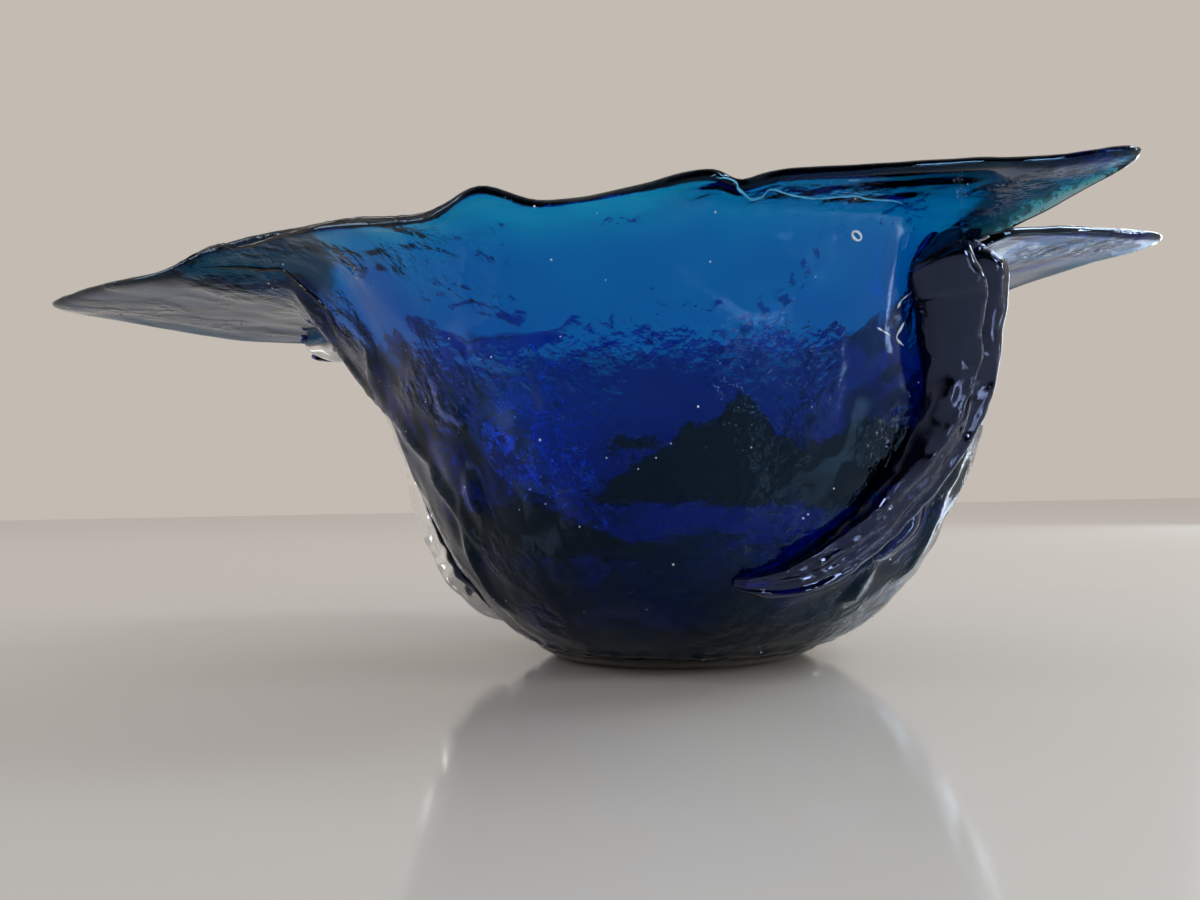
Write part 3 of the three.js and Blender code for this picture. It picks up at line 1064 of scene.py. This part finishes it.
# %% Lines of threads and flecks
# degrees round z, mm from the middle, height in mm: each is moved to the nearest skin
FOLD_LINE = (
    (-89.5, 147, 147.5), (-88.5, 146, 147.5), (-87.5, 145.5, 147), (-86.5, 143.5, 145),
    (-85, 139, 144.5), (-84, 140.5, 144.5), (-83.5, 145, 145), (-81, 142, 145),
    (-78, 140, 145), (-76, 141, 145), (-73.5, 142.5, 145.5), (-71, 141, 145.5),
    (-67.5, 140.5, 146), (-64.5, 137.5, 146),
)
LIP_LINE = (
    (-159, 182.5, 147.5), (-158, 172.5, 147.5), (-156.5, 162, 146.5), (-155, 156, 145.5),
    (-156, 148.5, 141.5), (-155.5, 143.5, 136.5), (-155.5, 140, 132.5),
    (-156.5, 136.5, 127.5), (-155.5, 132.5, 123.5),
)
RIM_LINE = (
    (-161, 192, 147.5), (-159, 187, 150), (-158, 182, 152), (-155, 173, 152.5),
    (-151, 164, 152.5), (-144, 156, 152), (-139, 151, 151.5), (-133, 147, 150.5),
    (-126, 146, 148), (-121, 147, 147.5), (-118, 148, 148.5),
)
# the flecks are white beads, painted glints beside the front strap
FLECKS = (
    ((-63, 120.5, 114), (-61.5, 120, 113), (-60, 119.5, 112)),
    ((-57, 120.5, 117.5), (-58, 120, 114.5), (-58.5, 119.5, 111.5), (-56.5, 118.5, 109.5)),
    ((-57.5, 122.5, 125), (-59, 122.5, 122.5), (-59.5, 122, 120)),
)
LINE_STEPS = 10  # from each place of a line to its next


def on_skin(spot, lift):
    """The nearest place on the bowl's outside, lifted off it."""
    skin, away = wall_tree.find_nearest(spot)[:2]
    return skin + away * lift


def laid(rows, lift):
    """A smooth line through rows of places, laid on the bowl."""
    count = LINE_STEPS * (len(rows) - 1)
    line = []
    for step in range(count + 1):
        degrees, radius, height = on_way(rows, step / count)
        line.append(on_skin(polar(degrees, radius * MM, height * MM), lift))
    return line


print("places of the rim's lines:", len(FOLD_LINE) + len(LIP_LINE) + len(RIM_LINE))

# %% Beads
POINTED = 0.1  # radius of a bead's tip, share of the radius that is asked for
TAPER = 4  # a bead narrows over about a fourth of its length at each end
SWELL = 0.8  # mean of its uneven radius, share of the radius that is asked for
SWELL_TURNS = 400  # how fast its radius changes

# name, line, lift off the skin, radius, how uneven it is, glass
# the fold's thread wears a painted highlight, the rim's and lip's threads painted shade
THREADS = (
    ("fold_edge", FOLD_LINE, 0.1 * MM, 0.38 * MM, 0.8, highlight_thread),
    ("lip_edge", LIP_LINE, 0, 1.0 * MM, 0.3, shade_thread),
    ("rim_edge", RIM_LINE, 0, 0.8 * MM, 0.3, shade_thread),
)
FLECK_LIFT = -0.1 * MM
FLECK_RADIUS = 0.32 * MM
FLECK_UNEVEN = 1.2


def bead(name, places, radius, uneven, closed, material):
    """A thin round bead of glass through places, pointed at its ends, as a plain mesh."""
    curve = bpy.data.curves.new(name, "CURVE")
    curve.dimensions = "3D"
    curve.bevel_depth = radius
    curve.bevel_resolution = 3
    curve.use_fill_caps = True
    line = curve.splines.new("POLY")
    line.points.add(len(places) - 1)
    for index, (point, spot) in enumerate(zip(line.points, places)):
        point.co = (*spot, 1)
        share = index / (len(places) - 1)
        taper = min(1, POINTED + TAPER * share, POINTED + TAPER - TAPER * share)
        point.radius = SWELL + uneven * noise.noise(spot * SWELL_TURNS)
        if not closed:
            point.radius *= taper
    line.use_cyclic_u = closed
    shape = bpy.data.objects.new(name, curve)
    mesh = bpy.data.meshes.new_from_object(shape)
    bpy.data.objects.remove(shape)
    mesh.materials.clear()
    mesh.materials.append(material)
    smooth(mesh)
    made = in_scene(name, mesh)
    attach(made, "root")


for name, rows, lift, radius, uneven, material in THREADS:
    bead(name, laid(rows, lift), radius, uneven, False, material)
for number, rows in enumerate(FLECKS):
    name = "fleck_%d" % (number + 1)
    bead(name, laid(rows, FLECK_LIFT), FLECK_RADIUS, FLECK_UNEVEN, False, glint_bead)
print("beads:", len(THREADS) + len(FLECKS))

# %% Blister
# the blister is a ring bead whose white is a painted glint
BLISTER_AT = (-69.5, 129.5, 138.5)  # as the lines above
BLISTER_REACH = (1.9 * MM, 1.1 * MM)
BLISTER_TILT = math.radians(-32)
BLISTER_STEPS = 32
BLISTER_LIFT = 0.1 * MM
BLISTER_RADIUS = 0.45 * MM  # of its ring's bead
BLISTER_UNEVEN = 0.4

centre = polar(BLISTER_AT[0], BLISTER_AT[1] * MM, BLISTER_AT[2] * MM)
beside = Vector((-centre.y, centre.x, 0)).normalized()
upward = Vector((0, 0, 1))
ring = []
for step in range(BLISTER_STEPS):
    turn = math.tau * step / BLISTER_STEPS
    wide = BLISTER_REACH[0] * math.cos(turn)
    tall = BLISTER_REACH[1] * math.sin(turn)
    right = wide * math.cos(BLISTER_TILT) - tall * math.sin(BLISTER_TILT)
    up = wide * math.sin(BLISTER_TILT) + tall * math.cos(BLISTER_TILT)
    ring.append(on_skin(centre + beside * right + upward * up, BLISTER_LIFT))
bead("blister", ring, BLISTER_RADIUS, BLISTER_UNEVEN, True, glint_bead)
print("blister of", len(ring), "places")

# %% [markdown]
# ## The foot
# The foot was one more gather, pressed flat while it was soft. It melted into the bowl's
# underside, so no seam shows. A boolean union would weld the two, but each has its own
# glass and its own node. So its top is raised a hair into the bowl here, and made a little
# wider than the bowl's own corner, so that the outline runs on without a step.

# %% The foot
FOOT_RAISE = 1.2 * MM
FOOT_SPREAD = 1.02
FOOT_TOP = 0.1 * MM  # corners this near to the top belong to it
FOOT_SKIN = {
    "Dent Depth": 0.0002,
    "Dent Size": 0.02,
    "Side Dents": 1.0,
    "Calm Above": 1.0,
    "Ripple Depth": 0.0,
    "Ripple Size": 0.01,
    "Ripple Length": 0.01,
    "Material": foot_glass,
}

foot = blank("foot_pad", "melted_foot")
top = max(v.co.z for v in foot.data.vertices)
for corner in foot.data.vertices:
    if corner.co.z > top - FOOT_TOP:
        corner.co.x *= FOOT_SPREAD
        corner.co.y *= FOOT_SPREAD
        corner.co.z += FOOT_RAISE
rounded(foot, levels=2, passes=1)
run_tree(foot, SKIN, FOOT_SKIN)
for corner in foot.data.vertices:
    corner.co.z = max(corner.co.z, 0)
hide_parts("foot_pad")
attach(foot, "root")
